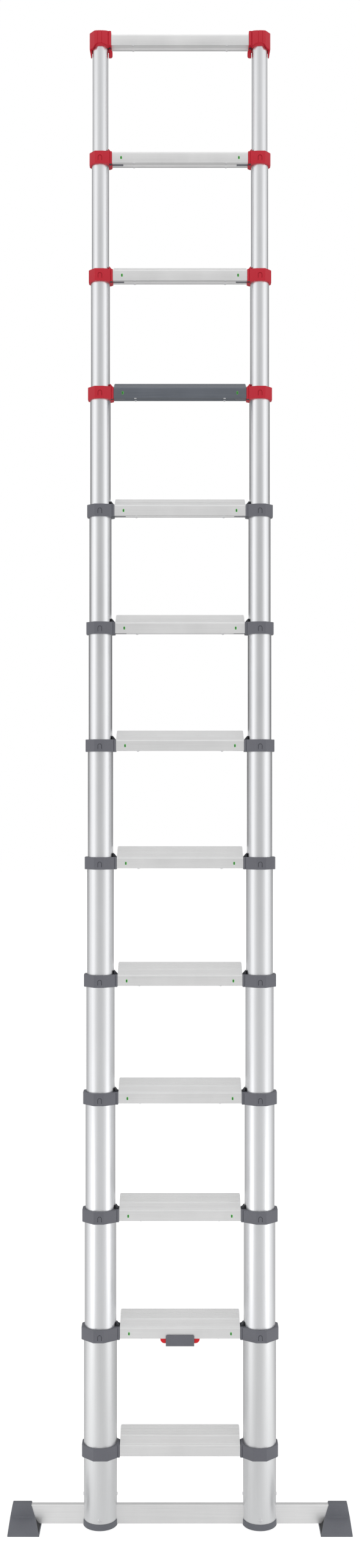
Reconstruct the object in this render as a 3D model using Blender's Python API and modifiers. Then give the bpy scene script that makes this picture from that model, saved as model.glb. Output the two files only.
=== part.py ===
"""Telescoping ladder: two stiles of twelve nested tubes, thirteen rungs, a stabiliser bar.

Units are metres. +Z runs up the stiles, -Y is the climbing side, and the origin is on the
floor, midway between the two stabiliser feet. The ladder is drawn at its full height.
"""
import math

import bmesh
import bpy
from mathutils import Matrix, Vector

# Layout of the ladder
TUBE_COUNT = 12
RUNG_COUNT = TUBE_COUNT + 1
STILE_X = 0.20275
FIRST_RUNG_Z = 0.180
RUNG_PITCH = 0.2985
MESH_GAP = 0.0003
ROUND_SIDES = 20
PIN_SIDES = 12

# Stile tubes: each tube slides inside the one below it
LARGEST_TUBE_RADIUS = 0.042
TUBE_RADIUS_STEP = 0.002
TUBE_WALL = 0.0015
TUBE_OVERLAP = 0.110
TUBE_TOP_ABOVE_RUNG = 0.0274
LAST_TUBE_TOP_ABOVE_RUNG = 0.0340

# Rung section, measured from the stile axis (Y) and from the rung's base (Z)
FACE_Y = -0.0215
FACE_BOTTOM = 0.0026
FACE_TOP = 0.0293
FLAT_SOLE_END_Y = 0.0155
BACK_Y = 0.052
TREAD_SLOPE = math.tan(math.radians(20.7))
WING_LOW = 0.044
EDGE_RADIUS = 0.005
BACK_EDGE_RADIUS = 0.0025
RUNG_WALL = 0.0016

# Collars: a faceted ring on the tube, with a plug that fills the rung's end
COLLAR_HEIGHT = 0.031
COLLAR_WALL = 0.0054
CLAMP_WALL = 0.0044
COLLAR_FLANGE = 0.0033
RUNG_OFFSET = 0.0081
SHOULDER_OFFSET = 0.0031
SHOULDER_FRONT_Y = -0.0240
SHOULDER_BACK_Y = 0.0215
BLOCK_FRONT_Y = -0.0225
BLOCK_BACK_Y = 0.0160
PLUG_LENGTH = 0.0115
LUG_WIDTH = 0.0087
LUG_HEIGHT = 0.0098
LUG_HALF_DEPTH = 0.006
LUG_TUCK = 0.002
CORE_Y = (-0.017, -0.008)
CORE_Z = (0.008, 0.024)

# Top caps
CAP_WALL = 0.007
CAP_BOTTOM = 0.005
CAP_HEIGHT = 0.038
CAP_SKIRT_DROP = 0.022
CAP_SKIRT_INNER = 0.0212
CAP_SKIRT_OUTER = 0.0270
CAP_HOOK_REACH = 0.0310
CAP_HOOK_TOP = -0.004
CAP_SKIRT_HALF_DEPTH = 0.012

# Stabiliser bar, its feet and the tube feet
BAR_HALF_LENGTH = 0.420
BAR_HALF_DEPTH = 0.009
BAR_BOTTOM = 0.0056
BAR_TOP = 0.0530
BAR_WALL = 0.002
FOOT_SOLE_X = (0.3526, 0.4332)
FOOT_TOP_X = (0.3785, 0.4258)
FOOT_HEIGHT = 0.0556
FOOT_WALL = 0.0023
FOOT_CREASE_Z = 0.024
FOOT_NECK_Y = 0.0118
FOOT_SOLE_Y = 0.068
FOOT_TOE_THICKNESS = 0.005
TUBE_FOOT_RADIUS = 0.0436
TUBE_FOOT_BOTTOM = 0.003
TUBE_FOOT_TOP = 0.0185

# Release unit under the second rung
COVER_HALF_WIDTH = 0.036
COVER_FRONT_Y = -0.025
COVER_BACK_Y = 0.014
COVER_WALL = 0.0022
COVER_DROP = 0.0155
COVER_LIP = 0.0125
TAB_REACH = 0.014
TAB_TUCK = 0.016
TAB_HALF_DEPTH = 0.011
TAB_HEIGHT = 0.0116
TAB_ARC_STEPS = 5
RELEASE_TRAVEL = 0.008
LINK_HALF_DEPTH = 0.004
LINK_Z = (0.008, 0.014)
RISER_X = (0.024, 0.030)
LINK_END_X = 0.140
PIN_RADIUS = 0.0035
PIN_TIP_IN_WALL = 0.0011

# How a flat outline is turned so that it is extruded along each axis
EXTRUDE_TURNS = {
    "X": (math.pi / 2, 0.0, math.pi / 2),
    "Y": (math.pi / 2, 0.0, 0.0),
    "Z": (0.0, 0.0, 0.0),
}

# Rungs and collars that are coloured differently
DARK_RUNG = 10
FIRST_RED_COLLAR = 10


def rung_base(number):
    """Height of the base of a rung, counted from 1 at the bottom."""
    return FIRST_RUNG_Z + RUNG_PITCH * (number - 1)


def tube_radius(number):
    """Outer radius of a stile tube, counted from 1 at the bottom."""
    return LARGEST_TUBE_RADIUS - TUBE_RADIUS_STEP * (number - 1)


def tube_top(number):
    """Height of the upper end of a stile tube."""
    above = LAST_TUBE_TOP_ABOVE_RUNG if number == TUBE_COUNT else TUBE_TOP_ABOVE_RUNG
    return rung_base(number + 1) + above


def carrying_tube(rung_number):
    """Number of the tube that a rung's collars are fixed to."""
    return max(1, rung_number - 1)


def clear_scene():
    for item in list(bpy.data.objects):
        bpy.data.objects.remove(item, do_unlink=True)


def make_collection(name):
    collection = bpy.data.collections.new(name)
    bpy.context.scene.collection.children.link(collection)
    return collection


def make_material(name, colour, roughness, metallic):
    material = bpy.data.materials.new(name)
    material.use_nodes = True
    shader = material.node_tree.nodes["Principled BSDF"]
    shader.inputs["Base Color"].default_value = (*colour, 1.0)
    shader.inputs["Roughness"].default_value = roughness
    shader.inputs["Metallic"].default_value = metallic
    material.diffuse_color = (*colour, 1.0)
    return material


# Shapes ------------------------------------------------------------------------------------

def object_from_bmesh(name, shape):
    """Turn a bmesh into a linked object whose faces point outward."""
    bmesh.ops.remove_doubles(shape, verts=shape.verts, dist=0.00001)
    bmesh.ops.recalc_face_normals(shape, faces=shape.faces)
    mesh = bpy.data.meshes.new(name)
    shape.to_mesh(mesh)
    shape.free()
    item = bpy.data.objects.new(name, mesh)
    bpy.context.scene.collection.objects.link(item)
    return item


def box(name, x_range, y_range, z_range):
    low = Vector((x_range[0], y_range[0], z_range[0]))
    high = Vector((x_range[1], y_range[1], z_range[1]))
    shape = bmesh.new()
    bmesh.ops.create_cube(shape, size=1.0)
    bmesh.ops.scale(shape, vec=high - low, verts=shape.verts)
    bmesh.ops.translate(shape, vec=(low + high) / 2, verts=shape.verts)
    return object_from_bmesh(name, shape)


def cylinder(name, centre, radius, length, axis="Z", sides=ROUND_SIDES):
    """A solid cylinder, centred on a point and lying along Z or X."""
    turn = Matrix.Rotation(math.pi / 2, 4, "Y") if axis == "X" else Matrix.Identity(4)
    shape = bmesh.new()
    bmesh.ops.create_cone(
        shape, cap_ends=True, segments=sides, radius1=radius, radius2=radius,
        depth=length, matrix=Matrix.Translation(centre) @ turn)
    return object_from_bmesh(name, shape)


def settle(item):
    """Replace an object's curve or modifiers by the mesh they make."""
    graph = bpy.context.evaluated_depsgraph_get()
    mesh = bpy.data.meshes.new_from_object(item.evaluated_get(graph))
    shape = bmesh.new()
    shape.from_mesh(mesh)
    solid = object_from_bmesh(item.name + "_solid", shape)
    solid.matrix_world = item.matrix_world.copy()
    name = item.name
    bpy.data.objects.remove(item, do_unlink=True)
    solid.name = name
    return solid


def turned(name, x, profile):
    """Turn a closed profile of (radius, height) pairs about a vertical axis."""
    mesh = bpy.data.meshes.new(name)
    points = [(radius, 0.0, height) for radius, height in profile]
    edges = [(i, (i + 1) % len(points)) for i in range(len(points))]
    mesh.from_pydata(points, edges, [])
    item = bpy.data.objects.new(name, mesh)
    bpy.context.scene.collection.objects.link(item)
    screw = item.modifiers.new("Turn", "SCREW")
    screw.steps = ROUND_SIDES
    screw.render_steps = ROUND_SIDES
    screw.use_merge_vertices = True
    screw.merge_threshold = 0.00001
    solid = settle(item)
    solid.location.x = x
    return solid


def prism(name, outlines, span, axis="X"):
    """Extrude closed outlines along an axis. The second outline is a hole in the first.

    The outlines hold (y, z) pairs along X, (x, z) pairs along Y and (x, y) pairs along Z.
    """
    curve = bpy.data.curves.new(name, "CURVE")
    curve.dimensions = "2D"
    curve.fill_mode = "BOTH"
    curve.extrude = (span[1] - span[0]) / 2
    for outline in outlines:
        spline = curve.splines.new("POLY")
        spline.points.add(len(outline) - 1)
        for point, (first, second) in zip(spline.points, outline):
            point.co = (first, second, 0.0, 1.0)
        spline.use_cyclic_u = True
    item = bpy.data.objects.new(name, curve)
    bpy.context.scene.collection.objects.link(item)
    item.rotation_euler = EXTRUDE_TURNS[axis]
    item.location["XYZ".index(axis)] = (span[0] + span[1]) / 2
    bpy.context.view_layer.update()
    return bake_transform(settle(item))


def bake_transform(item):
    """Move an object's placing into its mesh, so that its origin is the world's."""
    item.data.transform(item.matrix_world)
    item.matrix_world = Matrix.Identity(4)
    return item


def combine(target, tool, operation):
    """Join a tool to a solid, or cut it out, and remove the tool."""
    bpy.context.view_layer.update()
    modifier = target.modifiers.new(operation.title(), "BOOLEAN")
    modifier.operation = operation
    modifier.solver = "EXACT"
    modifier.object = tool
    result = settle(target)
    bpy.data.objects.remove(tool, do_unlink=True)
    return result


def mirrored(item):
    """Mirror the +X half of a solid that crosses the middle plane."""
    mirror = item.modifiers.new("Mirror", "MIRROR")
    mirror.use_axis = (True, False, False)
    mirror.use_bisect_axis = (True, False, False)
    mirror.use_bisect_flip_axis = (False, False, False)
    mirror.merge_threshold = 0.00001
    return settle(item)


def inset(points, distance):
    """Move every edge of a counter-clockwise outline inward by a distance."""
    moved = []
    for index, point in enumerate(points):
        before = (Vector(point) - Vector(points[index - 1])).normalized()
        after = (Vector(points[(index + 1) % len(points)]) - Vector(point)).normalized()
        normal_before = Vector((-before.y, before.x))
        normal_after = Vector((-after.y, after.x))
        shift = (normal_before + normal_after) / (1 + normal_before.dot(normal_after))
        moved.append(tuple(Vector(point) + shift * distance))
    return moved


def rounded(points, radii, steps=2):
    """Replace each corner that has a radius by an arc."""
    outline = []
    for index, (point, radius) in enumerate(zip(points, radii)):
        if radius <= 0:
            outline.append(point)
            continue
        corner = Vector(point)
        back = (Vector(points[index - 1]) - corner).normalized()
        ahead = (Vector(points[(index + 1) % len(points)]) - corner).normalized()
        half = back.angle(ahead) / 2
        centre = corner + (back + ahead).normalized() * radius / math.sin(half)
        first = corner + back * radius / math.tan(half) - centre
        sweep = first.angle_signed(corner + ahead * radius / math.tan(half) - centre)
        for step in range(steps + 1):
            angle = -sweep * step / steps
            turned_point = Matrix.Rotation(angle, 2) @ first
            outline.append(tuple(centre + turned_point))
    return outline


# Parts -------------------------------------------------------------------------------------

def rung_outline(shrink=0.0):
    """Section of a rung: an upright face, a sloping tread and a rear wing."""
    back_top = FACE_TOP + (BACK_Y - FACE_Y) * TREAD_SLOPE
    corners = [
        (FACE_Y, FACE_BOTTOM),
        (FLAT_SOLE_END_Y, FACE_BOTTOM),
        (BACK_Y, WING_LOW),
        (BACK_Y, back_top),
        (FACE_Y, FACE_TOP),
    ]
    radii = (0, 0, 0, BACK_EDGE_RADIUS - shrink, EDGE_RADIUS - shrink)
    return rounded(inset(corners, shrink), radii)


def collar_inner_x(rung_number):
    """Distance from the middle to the side of a collar that meets the rung."""
    return STILE_X - tube_radius(carrying_tube(rung_number)) - RUNG_OFFSET


def make_tube(number, name, side):
    """One stile tube. The left one is the right one turned half way round."""
    radius = tube_radius(number)
    bottom = BAR_BOTTOM if number == 1 else tube_top(number - 1) - TUBE_OVERLAP
    top = tube_top(number)
    inner = radius - TUBE_WALL
    profile = [(radius, top), (radius, bottom), (inner, bottom), (inner, top)]
    tube = turned(name, 0.0, profile)
    if number == 1:
        reach = radius * 1.2
        slot_y = (-BAR_HALF_DEPTH - MESH_GAP, BAR_HALF_DEPTH + MESH_GAP)
        slot = box("bar_slot", (-reach, reach), slot_y, (0.0, BAR_TOP + MESH_GAP))
        tube = combine(tube, slot, "DIFFERENCE")
        pin_z = rung_base(2) + sum(LINK_Z) / 2
        hole = cylinder("pin_hole", (-radius, 0.0, pin_z), PIN_RADIUS + MESH_GAP,
                        radius, "X", PIN_SIDES)
        tube = combine(tube, hole, "DIFFERENCE")
    tube.location.x = side * STILE_X
    if side < 0:
        tube.rotation_euler.z = math.pi
    return tube


def make_rung(number, name):
    """One hollow rung, open at both ends."""
    half = collar_inner_x(number) - MESH_GAP
    rung = prism(name, [rung_outline(), rung_outline(RUNG_WALL)], (-half, half))
    if number == 2:
        low = RISER_X[0] - RELEASE_TRAVEL - MESH_GAP
        high = RISER_X[1] + MESH_GAP
        slot_y = (-LINK_HALF_DEPTH - MESH_GAP, LINK_HALF_DEPTH + MESH_GAP)
        slot_z = (0.0, FACE_BOTTOM + 2 * RUNG_WALL)
        for slot_x in ((low, high), (-high, -low)):
            rung = combine(rung, box("riser_slot", slot_x, slot_y, slot_z), "DIFFERENCE")
    rung.location.z = rung_base(number)
    return rung


def collar_outline(radius, wall):
    """Plan of a +X collar: flat front and back facets, slanted sides and a block to the rung."""
    face = radius + wall
    outer_end = 0.010 + 0.14 * radius
    inner_end = 0.003 + 0.18 * radius
    flank = 0.42 * radius
    shoulder = radius + SHOULDER_OFFSET
    block = radius + RUNG_OFFSET
    toward_middle = [
        (-outer_end, -face),
        (inner_end, -face),
        (shoulder, SHOULDER_FRONT_Y),
        (block, BLOCK_FRONT_Y),
        (block, BLOCK_BACK_Y),
        (shoulder, SHOULDER_BACK_Y),
        (inner_end, face),
        (-outer_end, face),
        (-face, flank),
        (-face, -flank),
    ]
    return [(STILE_X - reach, y) for reach, y in toward_middle]


def make_plug(number):
    """The plug that fills the rung's end, drawn at the +X side."""
    x = collar_inner_x(number)
    section = rung_outline(RUNG_WALL + MESH_GAP)
    return prism("plug", [section], (x - PLUG_LENGTH, x + RUNG_OFFSET / 4))


def make_core(number):
    """Half of the core bar that joins the left and right plugs inside the rung."""
    reach = collar_inner_x(number) - PLUG_LENGTH / 2
    return box("core", (-0.01, reach), CORE_Y, CORE_Z)


def make_lug(number):
    """The wedge on top of a collar that trips the lock of the collar above."""
    x = STILE_X - tube_radius(number)
    root = COLLAR_HEIGHT - COLLAR_FLANGE / 2
    tip = COLLAR_HEIGHT + LUG_HEIGHT
    outline = [
        (x + LUG_TUCK, root),
        (x + LUG_TUCK, tip),
        (x, tip),
        (x - LUG_WIDTH, COLLAR_HEIGHT + MESH_GAP),
        (x - LUG_WIDTH, root),
    ]
    return prism("lug", [outline], (-LUG_HALF_DEPTH, LUG_HALF_DEPTH), "Y")


def make_collar_pair(number, name):
    """The left and right collars of one rung, joined by the core bar inside the rung."""
    radius = tube_radius(carrying_tube(number))
    wall = CLAMP_WALL if number == 1 else COLLAR_WALL
    collar = prism(name, [collar_outline(radius, wall)], (0.0, COLLAR_HEIGHT), "Z")
    ledge = 2 * COLLAR_HEIGHT
    if number > 1:
        ledge = COLLAR_HEIGHT - COLLAR_FLANGE
        collar = combine(collar, make_lug(number), "UNION")
        throat = cylinder("throat", (STILE_X, 0.0, COLLAR_HEIGHT),
                          tube_radius(number) + MESH_GAP, COLLAR_HEIGHT)
        collar = combine(collar, throat, "DIFFERENCE")
    bore = cylinder("bore", (STILE_X, 0.0, ledge / 2 - COLLAR_HEIGHT / 2),
                    radius + MESH_GAP, ledge + COLLAR_HEIGHT)
    collar = combine(collar, bore, "DIFFERENCE")
    collar = combine(collar, make_plug(number), "UNION")
    if number == 2:
        pin_z = sum(LINK_Z) / 2
        hole = cylinder("pin_hole", (collar_inner_x(number), 0.0, pin_z),
                        PIN_RADIUS + MESH_GAP, 0.04, "X", PIN_SIDES)
        collar = combine(collar, hole, "DIFFERENCE")
    collar = combine(collar, make_core(number), "UNION")
    collar = mirrored(collar)
    collar.location.z = rung_base(number)
    return collar


def make_cap_hook():
    """The hook that hangs from a top cap's inner side, below the rung."""
    inner = STILE_X - CAP_SKIRT_INNER
    outer = STILE_X - CAP_HOOK_REACH
    bottom = -CAP_SKIRT_DROP
    neck = STILE_X - CAP_SKIRT_OUTER
    corners = [
        (outer, bottom),
        (inner, bottom),
        (inner, CAP_BOTTOM * 2),
        (neck, CAP_BOTTOM * 2),
        (neck, 0.0),
        (outer, CAP_HOOK_TOP),
    ]
    outline = rounded(corners, (EDGE_RADIUS, 0, 0, 0, 0, 0))
    reach = CAP_SKIRT_HALF_DEPTH
    return prism("hook", [outline], (-reach, reach), "Y")


def make_top_cap_pair(name):
    """The closed caps on the last tubes, with an outer skirt and an inner hook."""
    number = RUNG_COUNT
    radius = tube_radius(TUBE_COUNT)
    outline = collar_outline(radius, CAP_WALL)
    cap = prism(name, [outline], (CAP_BOTTOM, CAP_HEIGHT), "Z")
    cap = combine(cap, make_cap_hook(), "UNION")
    skirt_x = (STILE_X + CAP_SKIRT_INNER, STILE_X + CAP_SKIRT_OUTER)
    skirt_y = (-CAP_SKIRT_HALF_DEPTH, CAP_SKIRT_HALF_DEPTH)
    skirt_z = (-CAP_SKIRT_DROP, CAP_BOTTOM * 2)
    cap = combine(cap, box("skirt", skirt_x, skirt_y, skirt_z), "UNION")
    depth = LAST_TUBE_TOP_ABOVE_RUNG + MESH_GAP
    bore = cylinder("bore", (STILE_X, 0.0, (depth - COLLAR_HEIGHT) / 2),
                    radius + MESH_GAP, depth + COLLAR_HEIGHT)
    cap = combine(cap, bore, "DIFFERENCE")
    cap = combine(cap, make_plug(number), "UNION")
    cap = combine(cap, make_core(number), "UNION")
    cap = mirrored(cap)
    cap.location.z = rung_base(number)
    return cap


def make_stabiliser_bar(name):
    """The wide box tube that runs through both stiles at the floor."""
    outer = [
        (-BAR_HALF_DEPTH, BAR_BOTTOM),
        (BAR_HALF_DEPTH, BAR_BOTTOM),
        (BAR_HALF_DEPTH, BAR_TOP),
        (-BAR_HALF_DEPTH, BAR_TOP),
    ]
    return prism(name, [outer, inset(outer, BAR_WALL)], (-BAR_HALF_LENGTH, BAR_HALF_LENGTH))


def make_stabiliser_foot(name, side):
    """A hollow boot on the bar's end: a narrow neck that widens to a deep level sole."""
    outline = [
        (-FOOT_SOLE_Y, 0.0),
        (FOOT_SOLE_Y, 0.0),
        (FOOT_SOLE_Y, FOOT_TOE_THICKNESS),
        (FOOT_NECK_Y, FOOT_CREASE_Z),
        (FOOT_NECK_Y, FOOT_HEIGHT),
        (-FOOT_NECK_Y, FOOT_HEIGHT),
        (-FOOT_NECK_Y, FOOT_CREASE_Z),
        (-FOOT_SOLE_Y, FOOT_TOE_THICKNESS),
    ]
    foot = prism(name, [outline], FOOT_SOLE_X)
    middle = sum(FOOT_SOLE_X) / 2
    for vertex in foot.data.vertices:
        end = 0 if vertex.co.x < middle else 1
        rise = vertex.co.z / FOOT_HEIGHT
        vertex.co.x += (FOOT_TOP_X[end] - FOOT_SOLE_X[end]) * rise
    hollow_x = (FOOT_SOLE_X[0] - FOOT_HEIGHT, BAR_HALF_LENGTH + MESH_GAP)
    hollow = prism("hollow", [inset(outline, FOOT_WALL)], hollow_x)
    foot = combine(foot, hollow, "DIFFERENCE")
    if side < 0:
        foot.rotation_euler.z = math.pi
    return foot


def make_tube_foot(name, side):
    """The cup on a stile's lower end, slotted for the stabiliser bar."""
    inner = LARGEST_TUBE_RADIUS + MESH_GAP
    floor = BAR_BOTTOM - MESH_GAP
    centre_z = (TUBE_FOOT_BOTTOM + TUBE_FOOT_TOP) / 2
    cup = cylinder(name, (0.0, 0.0, centre_z), TUBE_FOOT_RADIUS,
                   TUBE_FOOT_TOP - TUBE_FOOT_BOTTOM)
    hollow = cylinder("hollow", (0.0, 0.0, floor + TUBE_FOOT_TOP / 2), inner, TUBE_FOOT_TOP)
    cup = combine(cup, hollow, "DIFFERENCE")
    reach = TUBE_FOOT_RADIUS * 1.2
    slot_y = (-BAR_HALF_DEPTH - MESH_GAP, BAR_HALF_DEPTH + MESH_GAP)
    slot = box("slot", (-reach, reach), slot_y, (floor, TUBE_FOOT_TOP * 2))
    cup = combine(cup, slot, "DIFFERENCE")
    cup.location.x = side * STILE_X
    return cup


def make_release_cover(name):
    """The shell under the second rung that holds the two release tabs."""
    width = (-COVER_HALF_WIDTH, COVER_HALF_WIDTH)
    roof = FACE_BOTTOM - MESH_GAP
    cover = box(name, width, (COVER_FRONT_Y, COVER_BACK_Y), (-COVER_DROP, roof))
    lip_y = (COVER_FRONT_Y, FACE_Y - MESH_GAP)
    cover = combine(cover, box("lip", width, lip_y, (-COVER_DROP, COVER_LIP)), "UNION")
    inner_x = (-COVER_HALF_WIDTH + COVER_WALL, COVER_HALF_WIDTH - COVER_WALL)
    inner_y = (FACE_Y, COVER_BACK_Y - COVER_WALL)
    inner_z = (-COVER_DROP + COVER_WALL, COVER_DROP)
    cover = combine(cover, box("hollow", inner_x, inner_y, inner_z), "DIFFERENCE")
    reach = COVER_HALF_WIDTH * 1.2
    notch_y = (-TAB_HALF_DEPTH - MESH_GAP, TAB_HALF_DEPTH + MESH_GAP)
    notch_z = (tab_bottom() - MESH_GAP, COVER_DROP)
    cover = combine(cover, box("notch", (-reach, reach), notch_y, notch_z), "DIFFERENCE")
    cover.location.z = rung_base(2)
    return cover


def tab_bottom():
    """Underside of the release tabs, measured from the second rung's base."""
    return FACE_BOTTOM - 2 * MESH_GAP - TAB_HEIGHT


def make_release_slider(name, side):
    """A finger tab with a riser and a flat link that runs inside the second rung."""
    roof = FACE_BOTTOM - 2 * MESH_GAP
    inner_x = COVER_HALF_WIDTH - TAB_TUCK
    outline = [(inner_x, roof), (inner_x, tab_bottom())]
    for step in range(TAB_ARC_STEPS + 1):
        angle = math.pi / 2 * step / TAB_ARC_STEPS
        x = COVER_HALF_WIDTH + TAB_REACH * math.sin(angle)
        outline.append((x, roof - TAB_HEIGHT * math.cos(angle)))
    slider = prism(name, [outline], (-TAB_HALF_DEPTH, TAB_HALF_DEPTH), "Y")
    link_y = (-LINK_HALF_DEPTH, LINK_HALF_DEPTH)
    riser = box("riser", RISER_X, link_y, (tab_bottom() / 2, LINK_Z[1]))
    slider = combine(slider, riser, "UNION")
    link = box("link", (RISER_X[0], LINK_END_X), link_y, LINK_Z)
    slider = combine(slider, link, "UNION")
    slider.location.z = rung_base(2)
    if side < 0:
        slider.rotation_euler.z = math.pi
    return slider


def make_lock_pin(name, side):
    """The round pin that the slider draws out of the lowest stile tube."""
    tip = STILE_X - LARGEST_TUBE_RADIUS + PIN_TIP_IN_WALL
    start = LINK_END_X + MESH_GAP
    pin = cylinder(name, ((start + tip) / 2, 0.0, 0.0), PIN_RADIUS, tip - start,
                   "X", PIN_SIDES)
    pin.location.z = rung_base(2) + sum(LINK_Z) / 2
    if side < 0:
        pin.rotation_euler.z = math.pi
    return pin


# Assembly ----------------------------------------------------------------------------------

def add_frame(name, location):
    """An empty on a joint's axis, which carries the pieces of one moving body."""
    frame = bpy.data.objects.new(name, None)
    frame.location = location
    bpy.context.scene.collection.objects.link(frame)
    bpy.context.view_layer.update()
    return frame


def register(item, name, frame, collection, look):
    """Name a finished piece, colour it, and hang it on its body's frame."""
    item.name = name
    item.data.name = name
    item.data.materials.clear()
    item.data.materials.append(make_material(name + "_material", *look))
    for owner in list(item.users_collection):
        owner.objects.unlink(item)
    collection.objects.link(item)
    item.parent = frame
    item.matrix_parent_inverse = frame.matrix_world.inverted()
    item.data.shade_smooth()
    item.data.set_sharp_from_angle(angle=math.radians(30))


ALUMINIUM = ((0.60, 0.61, 0.62), 0.35, 1.0)
SILVER_RUNG = ((0.66, 0.66, 0.66), 0.40, 1.0)
DARK_ALUMINIUM = ((0.14, 0.14, 0.15), 0.40, 1.0)
GREY_PLASTIC = ((0.12, 0.12, 0.13), 0.55, 0.0)
RED_PLASTIC = ((0.58, 0.02, 0.04), 0.45, 0.0)
BLACK_RUBBER = ((0.05, 0.05, 0.055), 0.70, 0.0)
PIN_STEEL = ((0.50, 0.50, 0.50), 0.25, 1.0)
SIDES = (("left", -1), ("right", 1))


def stage_name(tube_number):
    return "stage_%02d_frame" % tube_number


def build_base(ladder):
    base = add_frame("base_frame", (0.0, 0.0, 0.0))
    for word, side in SIDES:
        tube_name = "stile_tube_%s_01" % word
        register(make_tube(1, tube_name, side), tube_name, base, ladder, ALUMINIUM)
        foot_name = "stabiliser_foot_" + word
        register(make_stabiliser_foot(foot_name, side), foot_name, base, ladder, BLACK_RUBBER)
        cup_name = "tube_foot_" + word
        register(make_tube_foot(cup_name, side), cup_name, base, ladder, BLACK_RUBBER)
    bar_name = "stabiliser_bar"
    register(make_stabiliser_bar(bar_name), bar_name, base, ladder, ALUMINIUM)
    cover_name = "release_cover"
    register(make_release_cover(cover_name), cover_name, base, ladder, GREY_PLASTIC)
    for number in (1, 2):
        build_level(number, base, ladder)


def build_level(number, frame, ladder):
    """A rung with its two collars, or with the top caps at the last rung."""
    rung_name = "rung_%02d" % number
    rung_look = DARK_ALUMINIUM if number == DARK_RUNG else SILVER_RUNG
    register(make_rung(number, rung_name), rung_name, frame, ladder, rung_look)
    collar_look = RED_PLASTIC if number >= FIRST_RED_COLLAR else GREY_PLASTIC
    if number == RUNG_COUNT:
        cap_name = "top_cap_pair"
        register(make_top_cap_pair(cap_name), cap_name, frame, ladder, collar_look)
    else:
        collar_name = "collar_pair_%02d" % number
        collars = make_collar_pair(number, collar_name)
        register(collars, collar_name, frame, ladder, collar_look)


def build_stage(number, ladder):
    """One telescoping stage: a tube on each side, with the rung on top of them."""
    frame = add_frame(stage_name(number), (0.0, 0.0, rung_base(number)))
    for word, side in SIDES:
        name = "stile_tube_%s_%02d" % (word, number)
        register(make_tube(number, name, side), name, frame, ladder, ALUMINIUM)
    build_level(number + 1, frame, ladder)


def build_release(word, side, ladder):
    """One release tab with its lock pin. They slide together toward the middle."""
    pin_z = rung_base(2) + sum(LINK_Z) / 2
    frame = add_frame("release_%s_frame" % word, (0.0, 0.0, pin_z))
    slider_name = "release_slider_" + word
    slider = make_release_slider(slider_name, side)
    register(slider, slider_name, frame, ladder, RED_PLASTIC)
    pin_name = "lock_pin_" + word
    register(make_lock_pin(pin_name, side), pin_name, frame, ladder, PIN_STEEL)


def build_ladder():
    clear_scene()
    ladder = make_collection("telescoping_ladder")
    build_base(ladder)
    for number in range(2, TUBE_COUNT + 1):
        build_stage(number, ladder)
    for word, side in SIDES:
        build_release(word, side, ladder)


build_ladder()
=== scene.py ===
"""Looks of the telescoping ladder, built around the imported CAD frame. Units are metres."""
import math

import bmesh
import bpy
from mathutils import Matrix, Vector


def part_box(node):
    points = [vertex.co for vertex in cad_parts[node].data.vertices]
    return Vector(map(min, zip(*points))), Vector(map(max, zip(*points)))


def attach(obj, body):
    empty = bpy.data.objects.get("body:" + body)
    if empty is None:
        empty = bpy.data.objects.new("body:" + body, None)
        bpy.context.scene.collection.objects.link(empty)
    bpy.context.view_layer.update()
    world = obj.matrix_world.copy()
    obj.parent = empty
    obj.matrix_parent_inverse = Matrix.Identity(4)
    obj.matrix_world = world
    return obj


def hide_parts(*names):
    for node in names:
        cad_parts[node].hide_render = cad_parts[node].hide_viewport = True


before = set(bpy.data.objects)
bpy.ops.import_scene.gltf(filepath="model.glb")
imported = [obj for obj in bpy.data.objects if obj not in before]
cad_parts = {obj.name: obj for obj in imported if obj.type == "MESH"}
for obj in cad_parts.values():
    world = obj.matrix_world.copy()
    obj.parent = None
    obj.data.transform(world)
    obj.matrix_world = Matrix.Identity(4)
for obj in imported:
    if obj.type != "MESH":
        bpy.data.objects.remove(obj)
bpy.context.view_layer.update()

MM = 0.001
SIDES = (("left", -1), ("right", 1))
RUNGS = range(1, 14)
LOCKED_RUNGS = range(2, 13)
TUBES = range(1, 13)
DARK_RUNG = 10
FIRST_RED_LEVEL = 10
ROUND_SIDES = 72
SMOOTH_LIMIT = 30
ROUND_STEPS = 4
FIT_GAP = 0.3 * MM

# Rung section, from the stile axis (Y) and the rung's base (Z)
RUNG_LIFT = 2.6 * MM
FACE_Y = -21.5 * MM
FACE_TOP = 29.3 * MM
SOLE_END_Y = 15.5 * MM
BACK_Y = 52.0 * MM
WING_LOW = 44.0 * MM
TREAD_ANGLE = 20.7
TREAD_SLOPE = math.tan(math.radians(TREAD_ANGLE))
RUNG_WALL = 3.2 * MM
CHANNEL_Y = (-9.6 * MM, 3.0 * MM)
CHANNEL_DEPTH = 1.5 * MM
GROOVE_FIRST_Y = 19.6 * MM
GROOVE_PITCH = 5.2 * MM
GROOVE_COUNT = 6
GROOVE_HALF = 0.9 * MM
GROOVE_DEPTH = 1.3 * MM
PLAN_CORNER = (4.5 * MM, 11.0 * MM)

# Collars
COLLAR_HEIGHT = 31.0 * MM
COLLAR_FLANGE = 3.3 * MM
LUG_WIDTH = 8.7 * MM
LUG_HEIGHT = 9.8 * MM
LUG_DEPTH_Y = (-12.0 * MM, 6.0 * MM)


# Geometry helpers --------------------------------------------------------------------------

def low(node):
    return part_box(node)[0]


def high(node):
    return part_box(node)[1]


def rung_node(level):
    return "rung_%02d" % level


def level_body(level):
    """The body that a rung and its collars move with."""
    return "base" if level < 3 else "stage_%02d" % (level - 1)


def tube_body(number):
    return "base" if number == 1 else "stage_%02d" % number


def tube_node(word, number):
    return "stile_tube_%s_%02d" % (word, number)


def rung_base(level):
    return low(rung_node(level)).z - RUNG_LIFT


def rung_half(level):
    return high(rung_node(level)).x


def tube_radius(number):
    node = tube_node("right", number)
    return (high(node).x - low(node).x) / 2


STILE_X = (high(tube_node("right", 1)).x + low(tube_node("right", 1)).x) / 2


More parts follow.
